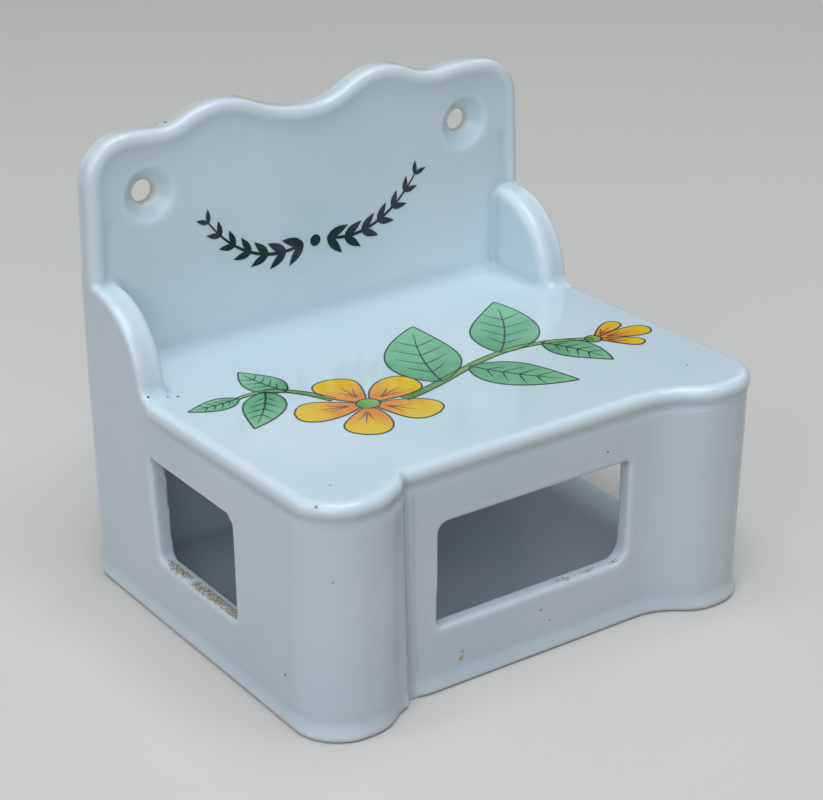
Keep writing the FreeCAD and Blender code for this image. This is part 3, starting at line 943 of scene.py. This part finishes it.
spray_ink = ceramic_ink("ceramic_spray_ink", SPRAY_INK_COLOUR)
shares = [i / SPRAY_STEPS for i in range(SPRAY_STEPS + 1)]
leaf_line = [Vector((SPRAY_LEAF_LENGTH * share, 0)) for share in shares]
leaf_halves = [SPRAY_LEAF_WIDTH / 2 * math.sin(math.pi * share ** 0.8) for share in shares]
small_leaf = link("small_leaf", flat_mesh("small_leaf", [ribbon(leaf_line, leaf_halves, 4)]))
spray = spray_tree()
for side, name in ((1, "right"), (-1, "left")):
    stem_line = curve_points([(side * x, y) for x, y in SPRAY_STEM], 25)
    leaves = grown(flat_curve("spray_" + name, stem_line), spray, {
        "Leaf": small_leaf,
        "Count": SPRAY_LEAF_COUNT,
        "Angle": math.radians(SPRAY_LEAF_ANGLE),
        "Last leaf": SPRAY_LAST_LEAF,
        "Material": spray_ink,
    })
    leaves.name = "plate_print_leaves_" + name
    film(leaves, LINE_LIFT, on_plate, spray_ink)
    stroke = ribbon(stem_line, tapered(SPRAY_STEM_WIDTH, len(stem_line), 0.8, 0.4), 2)
    film(flat_mesh("plate_print_stem_" + name, [stroke]), SPRAY_STEM_LIFT, on_plate, spray_ink)
bead_height = SPRAY_STEM[0][1]
bead_line = [Vector((-SPRAY_BEAD_RADIUS * math.cos(math.pi * share), bead_height)) for share in shares]
bead_halves = [SPRAY_BEAD_RADIUS * math.sin(math.pi * share) for share in shares]
film(flat_mesh("plate_print_bead", [ribbon(bead_line, bead_halves, 6)]), LINE_LIFT, on_plate, spray_ink)
bpy.data.objects.remove(small_leaf)

# Mould seams: two thin ridges down the left front cove, where the lobe and the panel were luted and the
# joint was wiped. They lie under the glaze and show as fine raised lines.
SEAM_LINES = (
    ((-36.2, 53.0), (-36.0, 38.7), (-35.2, 23.0), (-34.1, 7.0)),
    ((-34.2, 52.0), (-34.2, 37.0), (-33.5, 21.5), (-32.4, 7.0)),
)
SEAM_WIDTH = 0.8
SEAM_HEIGHT = 0.14
SEAM_POINTS = 60


def on_front(point):
    """The place and normal of the front walls behind a point of the front view, in millimetres."""
    start = Vector((point.x, -FAR, point.y)) * MM
    return skin_tree.ray_cast(start, Vector((0, 1, 0)))[:2]


seam_patches = []
for controls in SEAM_LINES:
    line = curve_points(controls, SEAM_POINTS)
    seam_patches.append(ribbon(line, tapered(SEAM_WIDTH, SEAM_POINTS, 0.3, 0.3), 6))
film(flat_mesh("cove_seams", seam_patches), 0.0, on_front, glaze, SEAM_HEIGHT)

# Flaws in the glaze: pinholes and specks of iron where a bubble burst or grit burnt in, chips in the
# plate's edge and a drip stain. Each is a shallow brown blister that lies on the skin.
FLAW_COLOURS = ("5E4F43", "C2B994")
FLAW_FLATNESS = 0.16
# Places in millimetres, radii, and tones from dark iron to pale rust: walls and shelf, the stain, the
# foot of the left cheek, the plate's edge
FLAWS = (
    ((-62.2, -34.7, 12.6), 0.42, 0.2),
    ((-57.9, -48.5, 40.5), 0.32, 1.0),
    ((-52.8, -40.3, 58.8), 0.28, 0.2),
    ((-60.2, -46.3, 58.3), 0.4, 0.8),
    ((20.0, -44.4, 47.5), 0.3, 0.3),
    ((49.8, -36.6, 58.7), 0.28, 0.2),
    ((2.1, -43.4, 11.6), 0.34, 0.6),
    ((4.8, -43.3, 8.0), 0.28, 0.6),
    ((-20.6, -43.3, 6.6), 0.7, 1.0),
    ((-20.2, -43.3, 8.2), 0.45, 1.0),
    ((-60.9, 24.0, 57.6), 0.4, 0.1),
    ((-56.4, 22.9, 56.8), 0.34, 0.1),
    ((-54.2, 22.0, 56.8), 0.42, 0.1),
    ((-38.6, 49.6, 112.4), 0.5, 0.3),
    ((-40.6, 50.2, 112.5), 0.3, 0.6),
    ((-44.0, 50.0, 112.8), 0.28, 0.7),
)


def blister_tree():
    """A flat round blister on each point, by the point's own facing and size."""
    tree, start, end = geometry_tree("blisters", {
        "Flatness": "NodeSocketFloat",
        "Material": "NodeSocketMaterial",
    })
    ball = add(tree, "GeometryNodeMeshIcoSphere", {"Radius": 1.0, "Subdivisions": 2})
    facing = add(tree, "GeometryNodeInputNamedAttribute", {"Name": "facing"}, data_type="FLOAT_VECTOR")
    radius = add(tree, "GeometryNodeInputNamedAttribute", {"Name": "radius"}, data_type="FLOAT")
    stand = add(tree, "FunctionNodeAlignRotationToVector", {
        "Vector": facing.outputs["Attribute"],
    }, axis="Z")
    squash = add(tree, "ShaderNodeCombineXYZ", {"X": 1.0, "Y": 1.0, "Z": start.outputs["Flatness"]})
    size = add(tree, "ShaderNodeVectorMath", {
        0: squash.outputs[0],
        "Scale": radius.outputs["Attribute"],
    }, operation="SCALE")
    blisters = add(tree, "GeometryNodeInstanceOnPoints", {
        "Points": start.outputs["Geometry"],
        "Instance": ball.outputs["Mesh"],
        "Rotation": stand.outputs[0],
        "Scale": size.outputs[0],
    })
    real = add(tree, "GeometryNodeRealizeInstances", {"Geometry": blisters.outputs["Instances"]})
    stained = add(tree, "GeometryNodeSetMaterial", {
        "Geometry": real.outputs["Geometry"],
        "Material": start.outputs["Material"],
    })
    tree.links.new(stained.outputs["Geometry"], end.inputs["Geometry"])
    return tree


burnt_speck = ceramic_colour("burnt_iron_speck", FLAW_COLOURS)
found = [skin_tree.find_nearest(Vector(place) * MM) for place, radius, tone in FLAWS]
flaw_points = bpy.data.meshes.new("glaze_flaws")
flaw_points.from_pydata([hit[0] for hit in found], [], [])
flaw_points.attributes.new("facing", "FLOAT_VECTOR", "POINT")
flaw_points.attributes.new("radius", "FLOAT", "POINT")
flaw_points.attributes.new("along", "FLOAT", "POINT")
flaw_points.attributes["facing"].data.foreach_set("vector", [axis for hit in found for axis in hit[1]])
flaw_points.attributes["radius"].data.foreach_set("value", [radius * MM for place, radius, tone in FLAWS])
flaw_points.attributes["along"].data.foreach_set("value", [tone for place, radius, tone in FLAWS])
flaws = grown(link("glaze_flaws", flaw_points), blister_tree(), {
    "Flatness": FLAW_FLATNESS,
    "Material": burnt_speck,
})
finish(link("glaze_flaws", flaws), burnt_speck)

# Grit on the window sills: kiln sand that stuck to the unglazed cut, thick on the left sill and thinly
# strewn along the right half of the front one. Each grain is a small uneven lump pressed into the sill.
GRIT_COLOURS = ("7A6443", "D3C4A2")
GRIT_ROUGHNESS = 0.85
GRIT_PATCH_SIZE = 5.0
GRAIN_SMALLEST = (0.5, 0.5, 0.3)
GRAIN_LARGEST = (1.5, 1.3, 0.8)
GRAIN_TURN = (6.28, 6.28, 6.28)
# A height in the windows from which the sills are seen
ABOVE_SILLS = 22.6
DRIFT_POINTS = 60
# Ends of each drift's middle line, its width, grains for each square millimetre, bareness, grain radius
# and seed
DRIFTS = {
    "left_sill_grit": ((-60.9, 19.3), (-60.5, -13.6), 2.4, 10.0, 0.43, 0.2, 14),
    "front_sill_grit": ((2.0, -42.0), (26.0, -42.0), 2.0, 9.0, 0.5, 0.16, 15),
}


def grit_tree():
    """Grains strewn over a patch of sill, in drifts, with fixed seeds."""
    tree, start, end = geometry_tree("grit", {
        "Density": "NodeSocketFloat",
        "Bareness": "NodeSocketFloat",
        "Grain radius": "NodeSocketFloat",
        "Seed": "NodeSocketInt",
        "Material": "NodeSocketMaterial",
    })
    drift = add(tree, "ShaderNodeTexNoise", {"Scale": per_mm(GRIT_PATCH_SIZE), "Detail": 2.0})
    bare = add(tree, "ShaderNodeMath", {
        0: drift.outputs["Fac"],
        1: start.outputs["Bareness"],
    }, operation="GREATER_THAN")
    density = add(tree, "ShaderNodeMath", {
        0: bare.outputs["Value"],
        1: start.outputs["Density"],
    }, operation="MULTIPLY")
    strewn = add(tree, "GeometryNodeDistributePointsOnFaces", {
        "Mesh": start.outputs["Geometry"],
        "Density": density.outputs["Value"],
        "Seed": start.outputs["Seed"],
    })
    lump = add(tree, "GeometryNodeMeshIcoSphere", {
        "Radius": start.outputs["Grain radius"],
        "Subdivisions": 1,
    })
    turn = add(tree, "FunctionNodeRandomValue", {1: GRAIN_TURN, "Seed": 3}, data_type="FLOAT_VECTOR")
    size = add(tree, "FunctionNodeRandomValue", {
        0: GRAIN_SMALLEST,
        1: GRAIN_LARGEST,
        "Seed": 5,
    }, data_type="FLOAT_VECTOR")
    grains = add(tree, "GeometryNodeInstanceOnPoints", {
        "Points": strewn.outputs["Points"],
        "Instance": lump.outputs["Mesh"],
        "Rotation": turn.outputs[0],
        "Scale": size.outputs[0],
    })
    tone = add(tree, "FunctionNodeRandomValue", {"Seed": 7}, data_type="FLOAT")
    toned = add(tree, "GeometryNodeStoreNamedAttribute", {
        "Geometry": grains.outputs["Instances"],
        "Name": "along",
    }, data_type="FLOAT", domain="INSTANCE")
    tree.links.new(tone.outputs[1], toned.inputs["Value"])
    real = add(tree, "GeometryNodeRealizeInstances", {"Geometry": toned.outputs["Geometry"]})
    sandy = add(tree, "GeometryNodeSetMaterial", {
        "Geometry": real.outputs["Geometry"],
        "Material": start.outputs["Material"],
    })
    tree.links.new(sandy.outputs["Geometry"], end.inputs["Geometry"])
    return tree


def on_sill(point):
    """The place of a window sill under a point of the plan, in millimetres."""
    start = Vector((point.x, point.y, ABOVE_SILLS)) * MM
    return skin_tree.ray_cast(start, Vector((0, 0, -1)))[0]


kiln_sand = ceramic_colour("kiln_sand", GRIT_COLOURS, roughness=GRIT_ROUGHNESS)
grit = grit_tree()
for name, (first, last, drift_width, density, bareness, grain, seed) in DRIFTS.items():
    line = curve_points([first, last], DRIFT_POINTS)
    bed = flat_mesh(name, [ribbon(line, [drift_width / 2] * DRIFT_POINTS, 6)])
    for vert in bed.vertices:
        vert.co = on_sill(vert.co / MM)
    grains = grown(link(name, bed), grit, {
        "Density": density / MM ** 2,
        "Bareness": bareness,
        "Grain radius": grain * MM,
        "Seed": seed,
        "Material": kiln_sand,
    })
    finish(link(name, grains), kiln_sand)

# Floor: a plain sheet of pale matt paper under the object. It looks pale and mirrors pale in the glaze,
# but throws back less light than it looks like, so that the walls keep their shading.
FLOOR_COLOUR = "E4DDD5"
FLOOR_BOUNCE_COLOUR = "A69B90"
FLOOR_ROUGHNESS = 0.9
FLOOR_HALF = 2.5
floor_mesh = bpy.data.meshes.new("floor")
corners = [(x * FLOOR_HALF, y * FLOOR_HALF, 0) for x, y in ((-1, -1), (1, -1), (1, 1), (-1, 1))]
floor_mesh.from_pydata(corners, [], [(0, 1, 2, 3)])
floor = link("floor", floor_mesh)
paper, tree, output = new_material("pale_paper")
ray = add(tree, "ShaderNodeLightPath")
seen = ray.outputs["Is Camera Ray"]
for kind in ("Is Glossy Ray", "Is Transmission Ray"):
    seen = add(tree, "ShaderNodeMath", {0: seen, 1: ray.outputs[kind]}, operation="MAXIMUM").outputs["Value"]
mix = {MIX_SHARE: seen, MIX_FROM: srgb(FLOOR_BOUNCE_COLOUR), MIX_TO: srgb(FLOOR_COLOUR)}
tone = add(tree, "ShaderNodeMix", mix, data_type="RGBA").outputs[MIX_RESULT]
shader = add(tree, "ShaderNodeBsdfPrincipled", {"Base Color": tone, "Roughness": FLOOR_ROUGHNESS})
tree.links.new(shader.outputs["BSDF"], output.inputs["Surface"])
floor_mesh.materials.append(paper)

# Light: an overcast room, as one broad panel above, a window at the front left, and dim panels at the
# left, at the right and behind, which keep those sides readable.
ROOM_COLOUR = "E9ECEE"
ROOM_STRENGTH = 0.16
PANEL_TARGET = Vector((0, 0, 0.05))
# Each panel's name, place and side in metres, power in watts, and colour
PANELS = (
    ("sky", (0.0, -0.2, 1.17), 0.9, 9.5, "E2EEF8"),
    ("window", (-0.88, -0.8, 0.72), 1.15, 7.4, "E2EDF9"),
    ("left", (-1.15, 0.35, 0.6), 0.6, 1.7, "E2EDF9"),
    ("right", (1.0, 0.45, 0.8), 0.6, 0.9, "EAF0F6"),
    ("behind", (-0.3, 1.3, 0.45), 0.8, 1.5, "EAF0F6"),
)
scene = bpy.context.scene
scene.view_settings.view_transform = "Standard"
world = bpy.data.worlds.new("room")
world.use_nodes = True
background = world.node_tree.nodes["Background"]
background.inputs["Color"].default_value = srgb(ROOM_COLOUR)
background.inputs["Strength"].default_value = ROOM_STRENGTH
scene.world = world
for name, place, side, power, colour in PANELS:
    light = bpy.data.lights.new(name, "AREA")
    light.shape = "SQUARE"
    light.size = side
    light.energy = power
    light.color = srgb(colour)[:3]
    lamp = link(name, light)
    lamp.location = place
    lamp.rotation_euler = (PANEL_TARGET - Vector(place)).to_track_quat("-Z", "Y").to_euler()

# Camera: where the photograph was taken from, by a fit to the object's edges; place in millimetres.
CAMERA_PLACE = Vector((-297.42, -424.78, 288.10))
CAMERA_RIGHT = (0.82048, -0.57162, -0.00783)
CAMERA_UP = (0.24487, 0.33904, 0.90835)
CAMERA_BACK = (-0.51657, -0.7472, 0.41814)
CAMERA_LENS = 105.17
SENSOR_WIDTH = 36.0
NEAREST = 10.0
camera_data = bpy.data.cameras.new("camera")
camera_data.sensor_width = SENSOR_WIDTH
camera_data.lens = CAMERA_LENS
camera_data.clip_start = NEAREST * MM
camera = link("camera", camera_data)
turn = Matrix((CAMERA_RIGHT, CAMERA_UP, CAMERA_BACK)).transposed().to_4x4()
camera.matrix_world = Matrix.Translation(CAMERA_PLACE * MM) @ turn
scene.camera = camera
